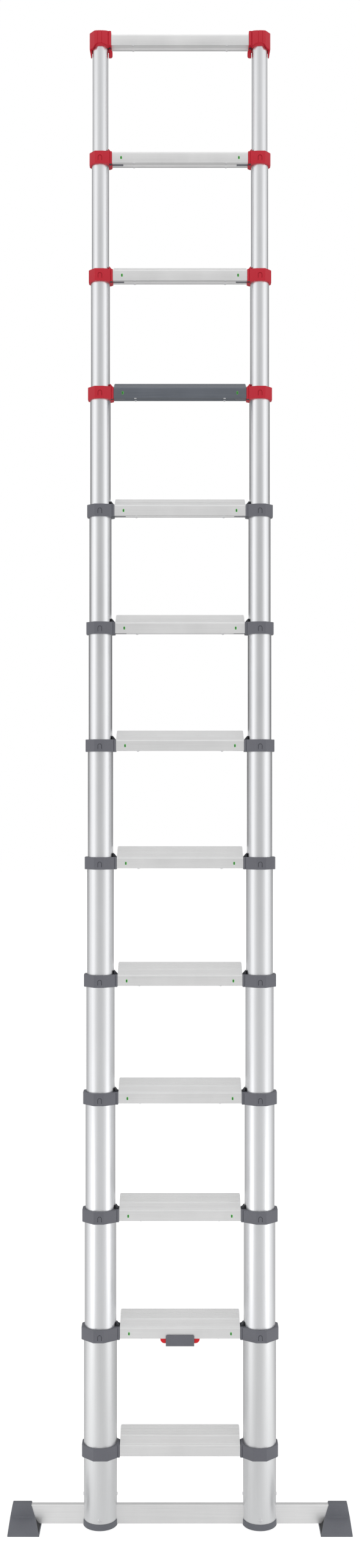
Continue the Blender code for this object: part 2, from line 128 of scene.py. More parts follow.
def carrying_radius(level):
    """Radius of the tube that a collar is fixed to."""
    return tube_radius(max(1, level - 1))


def mesh_object(name, shape, sharp=SMOOTH_LIMIT):
    bmesh.ops.remove_doubles(shape, verts=shape.verts, dist=1e-6)
    bmesh.ops.recalc_face_normals(shape, faces=shape.faces)
    mesh = bpy.data.meshes.new(name)
    shape.to_mesh(mesh)
    shape.free()
    mesh.shade_smooth()
    mesh.set_sharp_from_angle(angle=math.radians(sharp))
    item = bpy.data.objects.new(name, mesh)
    bpy.context.scene.collection.objects.link(item)
    return item


def applied(item):
    """The object with its modifiers made part of its mesh."""
    bpy.context.view_layer.update()
    graph = bpy.context.evaluated_depsgraph_get()
    mesh = bpy.data.meshes.new_from_object(item.evaluated_get(graph))
    item.modifiers.clear()
    item.data = mesh
    mesh.shade_smooth()
    mesh.set_sharp_from_angle(angle=math.radians(SMOOTH_LIMIT))
    return item


def combine(target, tool, operation):
    """Cut with a tool or join it on. The tool is then removed."""
    modifier = target.modifiers.new("Combine", "BOOLEAN")
    modifier.operation = operation
    modifier.solver = "EXACT"
    modifier.object = tool
    target = applied(target)
    bpy.data.objects.remove(tool, do_unlink=True)
    return target


def cut(target, tool):
    return combine(target, tool, "DIFFERENCE")


def join(target, tool):
    return combine(target, tool, "UNION")


def turned(name, centre, profile, sides=ROUND_SIDES, axis="Z"):
    """Revolve a profile of (radius, height) pairs. A radius of zero closes an end."""
    shape = bmesh.new()
    loops = []
    for radius, height in profile:
        count = sides if radius > 1e-9 else 1
        loops.append([
            shape.verts.new((radius * math.cos(turn), radius * math.sin(turn), height))
            for turn in (2 * math.pi * step / sides for step in range(count))])
    closed = profile[0][0] > 1e-9 and profile[-1][0] > 1e-9
    pairs = list(zip(loops, loops[1:]))
    if closed:
        pairs.append((loops[-1], loops[0]))
    for first, second in pairs:
        for step in range(sides):
            after = (step + 1) % sides
            corners = [first[step % len(first)], first[after % len(first)],
                       second[after % len(second)], second[step % len(second)]]
            unique = list(dict.fromkeys(corners))
            if len(unique) > 2:
                shape.faces.new(unique)
    turns = {"Z": Matrix.Identity(4), "X": Matrix.Rotation(math.pi / 2, 4, "Y"),
             "Y": Matrix.Rotation(math.pi / 2, 4, "X"),
             "-X": Matrix.Rotation(-math.pi / 2, 4, "Y"),
             "-Z": Matrix.Rotation(math.pi, 4, "X")}
    bmesh.ops.transform(shape, matrix=Matrix.Translation(centre) @ turns[axis],
                        verts=shape.verts)
    return mesh_object(name, shape)


PLANES = {
    "Z": lambda a, b, c: (a, b, c),
    "X": lambda a, b, c: (c, a, b),
    "Y": lambda a, b, c: (a, c, b),
}


def loft(name, stations, axis):
    """Join equal outlines, each at its own place along an axis, and close both ends."""
    place = PLANES[axis]
    shape = bmesh.new()
    rings = [[shape.verts.new(place(a, b, along)) for a, b in outline]
             for outline, along in stations]
    for first, second in zip(rings, rings[1:]):
        for index in range(len(first)):
            after = (index + 1) % len(first)
            shape.faces.new([first[index], first[after], second[after], second[index]])
    for ring in (rings[0], rings[-1]):
        shape.faces.new(ring)
    return mesh_object(name, shape)


def prism(name, outline, span, axis="Z"):
    """Extrude an outline: (x, y) pairs along Z, (y, z) along X or (x, z) along Y."""
    return loft(name, [(outline, span[0]), (outline, span[1])], axis)


def soft_prism(name, corners, span, axis="Z", soft=0.7 * MM):
    """Extrude rounded corners, (a, b, radius) each, with a quarter round at both ends."""
    turns = [math.radians(angle) for angle in (0, 30, 60, 90)]
    entry = [(soft * (1 - math.sin(turn)), soft * (1 - math.cos(turn))) for turn in turns]
    stations = [(rounded(inset(corners, depth)), span[0] + rise) for depth, rise in entry]
    stations += [(rounded(inset(corners, depth)), span[1] - rise)
                 for depth, rise in reversed(entry)]
    return loft(name, stations, axis)


def block(name, x_span, y_span, z_span):
    outline = [(x_span[0], y_span[0]), (x_span[1], y_span[0]),
               (x_span[1], y_span[1]), (x_span[0], y_span[1])]
    return prism(name, outline, z_span)


def rectangle(a_span, b_span, radius):
    """Counter-clockwise corners of a rectangle, all rounded alike."""
    return [(a_span[0], b_span[0], radius), (a_span[1], b_span[0], radius),
            (a_span[1], b_span[1], radius), (a_span[0], b_span[1], radius)]


def inset(corners, depth):
    """Move each side of a counter-clockwise outline inward, with its corners' rounding."""
    moved = []
    for index, (x, y, radius) in enumerate(corners):
        here = Vector((x, y))
        along = (here - Vector(corners[index - 1][:2])).normalized()
        onward = (Vector(corners[(index + 1) % len(corners)][:2]) - here).normalized()
        normals = Vector((-along.y, along.x)), Vector((-onward.y, onward.x))
        spot = here + (normals[0] + normals[1]) * depth / (1 + normals[0].dot(normals[1]))
        convex = along.cross(onward) > 0
        if radius > 0:
            radius = max(radius - depth, 0.05 * MM) if convex else radius + depth
        moved.append((spot.x, spot.y, radius))
    return moved


def rounded(corners):
    """Round the corners of a counter-clockwise outline. Each corner is (x, y, radius)."""
    outline = []
    for index, (x, y, radius) in enumerate(corners):
        corner = Vector((x, y))
        if radius <= 0:
            outline.append((x, y))
            continue
        back = (Vector(corners[index - 1][:2]) - corner).normalized()
        ahead = (Vector(corners[(index + 1) % len(corners)][:2]) - corner).normalized()
        half = back.angle(ahead) / 2
        centre = corner + (back + ahead).normalized() * radius / math.sin(half)
        first = corner + back * radius / math.tan(half) - centre
        last = corner + ahead * radius / math.tan(half) - centre
        sweep = first.angle_signed(last)
        for step in range(ROUND_STEPS + 1):
            spoke = Matrix.Rotation(-sweep * step / ROUND_STEPS, 2) @ first
            outline.append(tuple(centre + spoke))
    return outline


def mirrored_copy(item, name):
    """A copy on the other side of the ladder's middle plane."""
    shape = bmesh.new()
    shape.from_mesh(item.data)
    bmesh.ops.scale(shape, vec=(-1, 1, 1), verts=shape.verts)
    bmesh.ops.reverse_faces(shape, faces=shape.faces)
    return mesh_object(name, shape)


def finish_piece(item, body, material, slot, *nodes):
    """Dress a piece, tie it to its body and hide the CAD nodes that it stands for."""
    item.data.materials.clear()
    item.data.materials.append(material)
    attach(item, body)
    if nodes:
        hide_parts(*nodes)


def finish_pair(item, other_name, body, material, slot, *nodes):
    """Dress a right-hand piece and its mirrored copy on the left."""
    other = mirrored_copy(item, other_name)
    for piece in (item, other):
        finish_piece(piece, body, material, slot, *nodes)


# Materials ---------------------------------------------------------------------------------

def linear(red, green, blue):
    """Linear colour from display values between 0 and 255."""
    values = [channel / 255 for channel in (red, green, blue)]
    curve = [v / 12.92 if v <= 0.04045 else ((v + 0.055) / 1.055) ** 2.4 for v in values]
    return (*curve, 1.0)


def noise(nodes, links, source, stretch, scale, detail):
    """Noise in object space, stretched along an axis by a small stretch value."""
    mapping = nodes.new("ShaderNodeMapping")
    mapping.inputs["Scale"].default_value = stretch
    links.new(source, mapping.inputs["Vector"])
    texture = nodes.new("ShaderNodeTexNoise")
    texture.inputs["Scale"].default_value = scale
    texture.inputs["Detail"].default_value = detail
    texture.inputs["Roughness"].default_value = 0.6
    links.new(mapping.outputs["Vector"], texture.inputs["Vector"])
    return texture.outputs["Fac"]


def spread(nodes, links, source, lowest, highest, start=0.3, end=0.7):
    """Map a noise value onto a range."""
    node = nodes.new("ShaderNodeMapRange")
    node.inputs["From Min"].default_value = start
    node.inputs["From Max"].default_value = end
    node.inputs["To Min"].default_value = lowest
    node.inputs["To Max"].default_value = highest
    links.new(source, node.inputs["Value"])
    return node.outputs["Result"]


CLOUD_SCALE = 14.0


def surface(name, dark, light, roughness, metallic, grain, grain_scale, bump):
    """A finish whose colour, gloss and relief vary with a fine grain and a soft cloud."""
    material = bpy.data.materials.new(name)
    material.use_nodes = True
    nodes, links = material.node_tree.nodes, material.node_tree.links
    shader = nodes["Principled BSDF"]
    place = nodes.new("ShaderNodeTexCoord").outputs["Object"]
    fine = noise(nodes, links, place, grain, grain_scale, 4.0)
    soft = noise(nodes, links, place, (1.0, 1.0, 0.5), CLOUD_SCALE, 3.0)
    both = nodes.new("ShaderNodeMath")
    both.operation = "ADD"
    links.new(spread(nodes, links, fine, 0.0, 0.6), both.inputs[0])
    links.new(spread(nodes, links, soft, 0.0, 0.4), both.inputs[1])
    mix = nodes.new("ShaderNodeMix")
    mix.data_type = "RGBA"
    mix.inputs["A"].default_value = dark
    mix.inputs["B"].default_value = light
    links.new(both.outputs["Value"], mix.inputs["Factor"])
    links.new(mix.outputs["Result"], shader.inputs["Base Color"])
    links.new(spread(nodes, links, soft, *roughness), shader.inputs["Roughness"])
    relief = nodes.new("ShaderNodeBump")
    relief.inputs["Strength"].default_value = bump[0]
    relief.inputs["Distance"].default_value = bump[1]
    links.new(fine, relief.inputs["Height"])
    links.new(relief.outputs["Normal"], shader.inputs["Normal"])
    shader.inputs["Metallic"].default_value = metallic
    return material


ALONG_Z = (1.0, 1.0, 0.01)
ALONG_X = (0.01, 1.0, 1.0)
EVEN = (1.0, 1.0, 1.0)

TUBE_METAL = surface("tube_anodised", linear(233, 234, 236), linear(241, 242, 244),
                     (0.28, 0.33), 1.0, ALONG_Z, 700.0, (0.03, 0.0001))
# The lowest tube's finish: rougher, and darker as painted shade that tones down the floor's
# bright reflection on it
BASE_TUBE_SHADED_METAL = surface("base_tube_shaded_anodised", linear(228, 229, 230), linear(236, 237, 238),
                          (0.36, 0.40), 1.0, ALONG_Z, 700.0, (0.02, 0.0001))
RUNG_METAL = surface("rung_anodised", linear(238, 238, 238), linear(249, 249, 249),
                     (0.42, 0.50), 0.85, ALONG_X, 600.0, (0.08, 0.0001))
DARK_RUNG_METAL = surface("rung_dark_anodised", linear(110, 115, 123), linear(126, 131, 139),
                          (0.40, 0.48), 0.75, ALONG_X, 600.0, (0.08, 0.0001))
BAR_METAL = surface("bar_anodised", linear(238, 238, 238), linear(249, 249, 249),
                    (0.42, 0.50), 0.85, ALONG_X, 600.0, (0.08, 0.0001))
GREY_PLASTIC = surface("grey_moulding", linear(102, 103, 110), linear(116, 117, 125),
                       (0.44, 0.54), 0.0, EVEN, 1500.0, (0.25, 0.00008))
DARK_PLASTIC = surface("dark_moulding", linear(44, 46, 52), linear(56, 58, 64),
                       (0.46, 0.56), 0.0, EVEN, 1500.0, (0.25, 0.00008))
RED_PLASTIC = surface("red_moulding", linear(192, 14, 38), linear(210, 24, 50),
                      (0.46, 0.56), 0.0, EVEN, 1500.0, (0.25, 0.00008))
TAB_RED = surface("tab_red_moulding", linear(226, 8, 24), linear(242, 18, 36),
                  (0.30, 0.38), 0.0, EVEN, 1500.0, (0.2, 0.00006))
RUBBER = surface("foot_rubber", linear(101, 103, 110), linear(116, 118, 125),
                 (0.50, 0.62), 0.0, EVEN, 900.0, (0.35, 0.00012))
# Black for the core inside the feet: painted shade for the boot's hollow
HOLLOW_SHADE_BLACK = surface("hollow_shade_black", linear(26, 27, 30), linear(36, 37, 40),
                       (0.60, 0.72), 0.0, EVEN, 900.0, (0.3, 0.0001))
STEEL = surface("turned_steel", linear(226, 226, 228), linear(240, 240, 242),
                (0.30, 0.38), 1.0, EVEN, 900.0, (0.05, 0.00005))
GREEN_LENS = surface("indicator_lens", linear(70, 190, 60), linear(110, 225, 95),
                     (0.18, 0.26), 0.0, EVEN, 400.0, (0.05, 0.00005))
GREEN_DARK = surface("indicator_flag", linear(22, 92, 28), linear(34, 118, 40),
                     (0.35, 0.45), 0.0, EVEN, 400.0, (0.05, 0.00005))


# Stile tubes -------------------------------------------------------------------------------

TUBE_WALL = 1.5 * MM
RIM = 0.4 * MM


def make_tube(word, side, number):
    """One drawn tube with softened rims. The lowest one is slotted for the bar."""
    node = tube_node(word, number)
    radius = tube_radius(number)
    bottom, top = low(node).z, high(node).z
    inner = radius - TUBE_WALL
    profile = [(radius, bottom + RIM), (radius, top - RIM), (radius - RIM, top),
               (inner + RIM, top), (inner, top - RIM), (inner, bottom + RIM),
               (inner + RIM, bottom), (radius - RIM, bottom)]
    name = "tube_%s_%02d" % (word, number)
    tube = turned(name, (side * STILE_X, 0, 0), profile)
    material = TUBE_METAL
    if number == 1:
        # The lowest tube takes a darker copy of the tube finish: painted shade.
        material = BASE_TUBE_SHADED_METAL
        bar_low, bar_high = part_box("stabiliser_bar")
        slot_x = (side * STILE_X - 1.2 * radius, side * STILE_X + 1.2 * radius)
        slot = block("slot", slot_x, (bar_low.y - FIT_GAP, bar_high.y + FIT_GAP),
                     (-FIT_GAP, bar_high.z + FIT_GAP))
        tube = cut(tube, slot)
    finish_piece(tube, tube_body(number), material, "stile_aluminium", node)


# Rungs -------------------------------------------------------------------------------------

def tread_height(y):
    return FACE_TOP + (y - FACE_Y) * TREAD_SLOPE


# The shallow channels of the tread, from back to front: Y and depth in millimetres
TREAD_CHANNEL = ((17.2, 0.1), (15.0, 0.1), (13.6, 0.9), (12.4, 1.7), (-0.5, 1.7), (-1.9, 1.0),
                 (-2.6, 1.0), (-12.6, 1.0), (-13.4, 1.5), (-14.2, 1.0), (-16.4, 0.9),
                 (-17.0, 0.15))


def tread_details():
    """Points along the tread from back to front, with each one's depth under the tread."""
    points = []
    for index in reversed(range(GROOVE_COUNT)):
        middle = GROOVE_FIRST_Y + GROOVE_PITCH * index
        points += [(middle + GROOVE_HALF, 0.0), (middle + GROOVE_HALF / 3, GROOVE_DEPTH),
                   (middle - GROOVE_HALF / 3, GROOVE_DEPTH), (middle - GROOVE_HALF, 0.0)]
    points += [(y * MM, depth * MM) for y, depth in TREAD_CHANNEL]
    return [(y, tread_height(y) - depth) for y, depth in points]


def arc(centre, radius, start, end, steps):
    """Points on an arc in degrees, both ends included."""
    angles = (math.radians(start + (end - start) * step / steps) for step in range(steps + 1))
    return [(centre[0] + radius * math.cos(a), centre[1] + radius * math.sin(a))
            for a in angles]


RUNG_EDGE = 1.0 * MM
RUNG_TIP = 3.0 * MM
RUNG_NOSE = 4.6 * MM
# How far under the tread the centre of a rounding lies, in radii: 1 / cos(TREAD_ANGLE)
CENTRE_DROP = 1.07


def rounding_centre(y, radius):
    """Centre of a rounding that meets the tread."""
    return y, tread_height(y) - radius * CENTRE_DROP


def rung_outline():
    """Outer section of a rung, counter-clockwise from the underside's front."""
    sole = RUNG_LIFT
    roof = sole + CHANNEL_DEPTH
    edge = RUNG_EDGE
    wing = math.degrees(math.atan2(WING_LOW - sole, BACK_Y - SOLE_END_Y))
    back_centre = rounding_centre(BACK_Y - RUNG_TIP, RUNG_TIP)
    nose_centre = rounding_centre(FACE_Y + RUNG_NOSE, RUNG_NOSE)
    points = [(CHANNEL_Y[0] - edge, sole), (CHANNEL_Y[0], roof), (CHANNEL_Y[1], roof),
              (CHANNEL_Y[1] + edge, sole), (SOLE_END_Y - 2 * edge, sole)]
    points += arc((SOLE_END_Y - 2 * edge, sole + 3 * edge), 3 * edge, -90, wing - 90, 4)
    points += arc((BACK_Y - 3 * edge, WING_LOW + edge), 3 * edge, wing - 90, 0, 4)
    points += arc(back_centre, RUNG_TIP, 0, 90 + TREAD_ANGLE, 6)
    points += tread_details()
    points += arc(nose_centre, RUNG_NOSE, 90 + TREAD_ANGLE, 180, 6)
    points += arc((FACE_Y + edge, sole + edge), edge, 180, 270, 3)
    return points


def rung_hollow():
    """Inner section of a rung, kept inside its outer one."""
    wall = RUNG_WALL
    return [(FACE_Y + wall, RUNG_LIFT + wall), (SOLE_END_Y - wall / 2, RUNG_LIFT + wall),
            (BACK_Y - wall * 1.4, WING_LOW + wall / 3),
            (BACK_Y - wall * 1.4, tread_height(BACK_Y) - wall * 1.8),
            (FACE_Y + wall, FACE_TOP - wall)]


def wing_height(y):
    return RUNG_LIFT + (y - SOLE_END_Y) * (WING_LOW - RUNG_LIFT) / (BACK_Y - SOLE_END_Y)


def trimmed(outline, limit, lift=0.0):
    """A section whose part behind a limit is pressed onto it, between wing and tread."""
    roof, floor = tread_height(limit) - lift, wing_height(limit) + lift
    middle = WING_LOW + 4 * MM
    loop = []
    for y, z in outline:
        if y > limit:
            y, z = limit, min(z, roof) if z > middle else min(z, floor)
        loop.append((y, z))
    return loop


def make_rung(level):
    """A ribbed hollow extrusion whose back corners are rounded in plan."""
    half = rung_half(level)
    base = rung_base(level)
    outer, inner = rung_outline(), rung_hollow()
    turns = [math.radians(angle) for angle in (0, 15, 35, 60, 90)]
    stations = [(half - PLAN_CORNER[0] * (1 - math.cos(turn)),
                 BACK_Y - PLAN_CORNER[1] * (1 - math.sin(turn))) for turn in turns]
    stations = [(-x, limit) for x, limit in stations] + stations[::-1]
    shape = bmesh.new()
    rings = []
    for x, limit in stations:
        loops = (trimmed(outer, limit), trimmed(inner, limit - RUNG_WALL, RUNG_WALL))
        rings.append([[shape.verts.new((x, y, base + z)) for y, z in loop]
                      for loop in loops])
    for first, second in zip(rings, rings[1:]):
        for loop_a, loop_b in zip(first, second):
            for index in range(len(loop_a)):
                after = (index + 1) % len(loop_a)
                shape.faces.new([loop_a[index], loop_a[after], loop_b[after],
                                 loop_b[index]])
    bmesh.ops.remove_doubles(shape, verts=shape.verts, dist=1e-6)
    for side in (-1, 1):
        rim = [edge for edge in shape.edges
               if edge.is_boundary and edge.verts[0].co.x * side > 0]
        bmesh.ops.triangle_fill(shape, edges=rim, use_beauty=True)
    rung = mesh_object("rung_%02d_extrusion" % level, shape, sharp=24)
    dark = level == DARK_RUNG
    slot = "dark_rung_aluminium" if dark else "rung_aluminium"
    material = DARK_RUNG_METAL if dark else RUNG_METAL
    finish_piece(rung, level_body(level), material, slot, rung_node(level))


RIVET_INSET = 55.0 * MM
RIVET_ROWS_Y = (-16.0 * MM, 11.0 * MM)
RIVET_RADIUS = 3.4 * MM
RIVET_RISE = 1.7 * MM


def dome_profile(radius, rise, sunk):
    """Half section of a domed head that stands on a short shank."""
    crown = [(radius * math.cos(math.radians(a)), rise * math.sin(math.radians(a)))
             for a in (0, 25, 50, 72)]
    return [(0.0, -sunk), (radius * 0.5, -sunk), (radius * 0.5, 0.0)] + crown + [(0.0, rise)]


def make_rung_rivets(level):
    """Two domed rivets at each end of a rung, on its underside's front and rear lips."""
    sole = rung_base(level) + RUNG_LIFT
    for word, side in SIDES:
        for row, y in enumerate(RIVET_ROWS_Y):
            x = side * (rung_half(level) - RIVET_INSET)
            name = "rung_%02d_rivet_%s_%d" % (level, word, row + 1)
            rivet = turned(name, (x, y, sole), dome_profile(RIVET_RADIUS, RIVET_RISE, MM),
                           20, "-Z")
            finish_piece(rivet, level_body(level), STEEL, "pin_steel")


LENS_INSET = 23.0 * MM
LENS_SIZE = (4.4 * MM, 8.0 * MM)
FLAG_SIZE = (2.5 * MM, 6.0 * MM)
LENS_HEIGHT = 15.2 * MM


def pill(name, centre_x, centre_z, size, y_span, soft):
    """An upright rounded pill that faces the climber."""
    half_x, half_z = size[0] / 2, size[1] / 2
    corners = rectangle((centre_x - half_x, centre_x + half_x),
                        (centre_z - half_z, centre_z + half_z), half_x * 0.95)
    return soft_prism(name, corners, y_span, "Y", soft)


def make_indicators(level):
    """The green lock indicator near each end of the rung's face."""
    z = rung_base(level) + LENS_HEIGHT
    for word, side in SIDES:
        x = side * (rung_half(level) - LENS_INSET)
        name = "indicator_%02d_%s" % (level, word)
        lens = pill(name, x, z, LENS_SIZE, (FACE_Y - 0.5 * MM, FACE_Y + MM), 0.3 * MM)
        finish_piece(lens, level_body(level), GREEN_LENS, None)
        flag = pill(name + "_flag", x - 0.3 * MM, z, FLAG_SIZE,
                    (FACE_Y - 0.8 * MM, FACE_Y), 0.2 * MM)
        finish_piece(flag, level_body(level), GREEN_DARK, None)


SLIDE_BAR_LENGTH = 28.0 * MM


def make_slide_bars(level):
    """The end of the lock slide that shows in the channel under each end of a rung."""
    sole = rung_base(level) + RUNG_LIFT
    y_span = (CHANNEL_Y[0] + 0.4 * MM, CHANNEL_Y[1] - 0.4 * MM)
    for word, side in SIDES:
        ends = sorted((side * (rung_half(level) - 0.2 * MM),
                       side * (rung_half(level) - SLIDE_BAR_LENGTH)))
        bar = soft_prism("lock_slide_%02d_%s" % (level, word), rectangle(ends, y_span, MM),
                         (sole + 0.1 * MM, sole + CHANNEL_DEPTH + 0.4 * MM), soft=0.4 * MM)
        finish_piece(bar, level_body(level), GREY_PLASTIC, "grey_plastic")


# Collars -----------------------------------------------------------------------------------

def toward_middle(plan):
    """Corners in X and Y from corners given by their reach toward the ladder's middle."""
    return [(STILE_X - reach, y, radius) for reach, y, radius in reversed(plan)]


def collar_corners(level, radius, wall, soft):
    """Plan of a right-hand collar: six facets, a groove and the block beside the rung."""
    face = radius + wall
    outer_end = 10 * MM + 0.14 * radius
    inner_end = 19.5 * MM if level == 1 else 3 * MM + 0.18 * radius
    round_flank = 11 * MM if level == 1 else 6 * MM
    flank = 0.42 * radius
    shoulder, side = radius + 3.1 * MM, radius + 8.1 * MM
    return toward_middle([
        (-outer_end, -face, 3 * soft), (inner_end, -face, 3 * soft),
        (shoulder - 1.3 * MM, -24.6 * MM, soft), (shoulder - 0.6 * MM, -22.6 * MM, 0.2 * MM),
        (shoulder + 0.3 * MM, -24.0 * MM, soft), (side, -22.5 * MM, soft),
        (side, 16.0 * MM, soft), (shoulder, 21.5 * MM, soft), (inner_end, face, 3 * soft),
        (-outer_end, face, 3 * soft), (-face, flank, round_flank), (-face, -flank, round_flank)])


def snap_tongue_cutter(radius, wall, base):
    """A thin arch-shaped slot in the collar's front, which frees a snap tongue."""
    width, height, line = 11.0 * MM, 14.0 * MM, 1.7 * MM
    outer, inner = width / 2, width / 2 - line
    foot = base + 6.5 * MM
    spring = foot + height - outer
    outline = [(STILE_X + outer, foot)]
    outline += arc((STILE_X, spring), outer, 0, 180, 10)
    outline += [(STILE_X - outer, foot), (STILE_X - inner, foot)]
    outline += arc((STILE_X, spring), inner, 180, 0, 10)
    outline += [(STILE_X + inner, foot)]
    face = radius + wall
    return prism("tongue_slot", outline, (-face - 2 * MM, -face + 1.6 * MM), "Y")


def round_cutter(radius, z_span):
    profile = [(0.0, z_span[0]), (radius, z_span[0]), (radius, z_span[1]), (0.0, z_span[1])]
    return turned("round_cutter", (STILE_X, 0, 0), profile)


def make_plug(level):
    """The plug inside the rung's end, on the core that joins it to the collar."""
    half = rung_half(level)
    base = rung_base(level)
    outline = [(y, base + z) for y, z in rung_hollow()]
    plug = prism("plug", outline, (half - 9 * MM, half - 1.5 * MM), "X")
    core = block("core", (half - 3 * MM, half + 1.2 * MM), (-17 * MM, -8 * MM),
                 (base + 8 * MM, base + 24 * MM))
    return join(plug, core)


def latch_pocket(level, grow):
    """The pocket under a collar's block, where the lock's dark latch shows."""
    radius = carrying_radius(level)
    base = rung_base(level)
    x_span = (STILE_X - radius - 7.2 * MM - grow, STILE_X - radius - 1.2 * MM + grow)
    y_span = (-20.5 * MM - grow, -8.0 * MM + grow)
    return x_span, y_span, (base - grow + 0.4 * MM, base + 4 * MM + grow)


def collar_materials(level):
    if level >= FIRST_RED_LEVEL:
        return RED_PLASTIC, "red_plastic"
    return GREY_PLASTIC, "grey_plastic"


def make_collars(level):
    """The two moulded collars of a rung."""
    radius = carrying_radius(level)
    wall = (4.4 if level == 1 else 5.4) * MM
    base = rung_base(level)
    top = base + COLLAR_HEIGHT
    name = "collar_%02d" % level
    collar = soft_prism(name + "_right", collar_corners(level, radius, wall, 0.7 * MM),
                        (base, top), soft=0.9 * MM)
    ledge = top + MM
    if level > 1:
        ledge = top - COLLAR_FLANGE
        upper = tube_radius(level)
        collar = cut(collar, round_cutter(upper + 0.4 * MM, (ledge - MM, top + MM)))
        collar = cut(collar, snap_tongue_cutter(radius, wall, base))
        x_span, y_span, z_span = latch_pocket(level, 0.3 * MM)
        collar = cut(collar, block("pocket", x_span, y_span, (base - MM, z_span[1])))
    collar = cut(collar, round_cutter(radius + 0.3 * MM, (base - MM, ledge)))
    collar = join(collar, make_plug(level))
    material, slot = collar_materials(level)
    finish_pair(collar, name + "_left", level_body(level), material, slot,
                "collar_pair_%02d" % level)


LATCH_ROUND = 0.6 * MM


def make_latches(level):
    """The dark latches of a rung's locks, in the pockets under its collars."""
    x_span, y_span, z_span = latch_pocket(level, 0.0)
    name = "latch_%02d" % level
    latch = soft_prism(name + "_right", rectangle(x_span, y_span, LATCH_ROUND), z_span,
                       soft=0.4 * MM)
    finish_pair(latch, name + "_left", level_body(level), DARK_PLASTIC, "grey_plastic")


def make_lugs(level):
    """The trip wedges that stand on the collars, against the tubes above."""
    top = rung_base(level) + COLLAR_HEIGHT
    start = STILE_X - tube_radius(level) - 0.4 * MM
    corners = [(start - LUG_WIDTH, top - MM, 0.3 * MM), (start, top - MM, 0.3 * MM),
               (start, top + LUG_HEIGHT, 0.6 * MM),
               (start - 1.5 * MM, top + LUG_HEIGHT - 0.5 * MM, 0.8 * MM),
               (start - LUG_WIDTH, top + 0.8 * MM, 0.6 * MM)]
    name = "trip_wedge_%02d" % level
    lug = soft_prism(name + "_right", corners, LUG_DEPTH_Y, "Y", 0.5 * MM)
    material, slot = DARK_PLASTIC, "grey_plastic"
    if level >= FIRST_RED_LEVEL:
        material, slot = collar_materials(level)
    finish_pair(lug, name + "_left", level_body(level), material, slot)


# Top caps ----------------------------------------------------------------------------------

def fluted_corners(radius, wall):
    """Plan of a right-hand cap: three front flutes parted by fine grooves, and a block."""
    face = radius + wall
    shoulder, side = radius + 3.1 * MM, radius + 8.1 * MM
    fine, soft = 0.25 * MM, 0.8 * MM
    plan = [(-14.4 * MM, -face + 1.6 * MM, 2 * soft)]
    for ridge in (-6.2 * MM, 4.0 * MM):
        plan += [(ridge - 0.9 * MM, -face, fine), (ridge, -face + 0.9 * MM, fine),
                 (ridge + 0.9 * MM, -face, fine)]
    plan += [(14.4 * MM, -face + 1.4 * MM, soft), (shoulder - 3.6 * MM, -24.2 * MM, soft),
             (shoulder - 2.6 * MM, -21.8 * MM, fine), (shoulder - 1.4 * MM, -24.0 * MM, soft),
             (side, -22.5 * MM, soft), (side, 16.0 * MM, soft),
             (shoulder, 21.5 * MM, soft), (10 * MM, face, 3 * soft),
             (-13.0 * MM, face, 3 * soft), (-face, 9.0 * MM, 4 * soft),
             (-face, -9.0 * MM, 4 * soft)]
    return toward_middle(plan)


CAP_SKIRT_DROP = 19.5 * MM
CAP_WING_HALF_DEPTH = 6.0 * MM
CAP_TOP = 38.0 * MM
CAP_DEPTH_INSIDE = 34.3 * MM
# Depth span of the dark plug that is painted shade in the gap of the cap's hook
CAP_GAP_SHADE_Y = (-7.6 * MM, 1.0 * MM)
# The arch under the cap's front: across and up, in millimetres
CAP_ARCH = ((-34, 1), (-15, 3), (-8, 5.2), (0, 6), (8, 5), (13, 2), (17, -3), (20.5, -12))


def make_cap_hook(base, radius):
    """The rounded hook on the inner side of a cap, with an open slot beside the tube."""
    inner, outer = STILE_X - radius - 1.4 * MM, STILE_X - radius - 10.8 * MM
    neck = STILE_X - radius - 6.8 * MM
    foot = base - CAP_SKIRT_DROP
    corners = [(neck, base + 10 * MM, 0.5 * MM), (neck, base - 1.5 * MM, 0.8 * MM),
               (outer, base - 6.2 * MM, 3 * MM), (outer, foot, 5 * MM),
               (inner, foot, 0.8 * MM), (inner, base + 10 * MM, 0.5 * MM)]
    hook = soft_prism("hook", corners, (-CAP_WING_HALF_DEPTH, CAP_WING_HALF_DEPTH), "Y",
                      0.9 * MM)
    slot = block("slot", (inner - 2.4 * MM, inner + MM), (-20 * MM, -3 * MM),
                 (base - 15.5 * MM, base - 8.5 * MM))
    gap = block("gap", (neck - MM, inner + MM), (-20 * MM, -3 * MM),
                (base - 1.5 * MM, base + 7 * MM))
    return cut(cut(hook, slot), gap)


def make_cap_skirt(base, radius):
    """The tongue on the outer side of a cap, which thins toward its foot."""
    inner, outer = STILE_X + radius + 1.3 * MM, STILE_X + radius + 6.9 * MM
    foot = base - CAP_SKIRT_DROP
    corners = [(inner, foot, 0.5 * MM), (outer - 2.8 * MM, foot, 0.8 * MM),
               (outer, base - 2 * MM, 9 * MM), (outer, base + 10 * MM, 0.5 * MM),
               (inner, base + 10 * MM, 0.5 * MM)]
    return soft_prism("skirt", corners, (-CAP_WING_HALF_DEPTH, CAP_WING_HALF_DEPTH), "Y",
                      0.9 * MM)


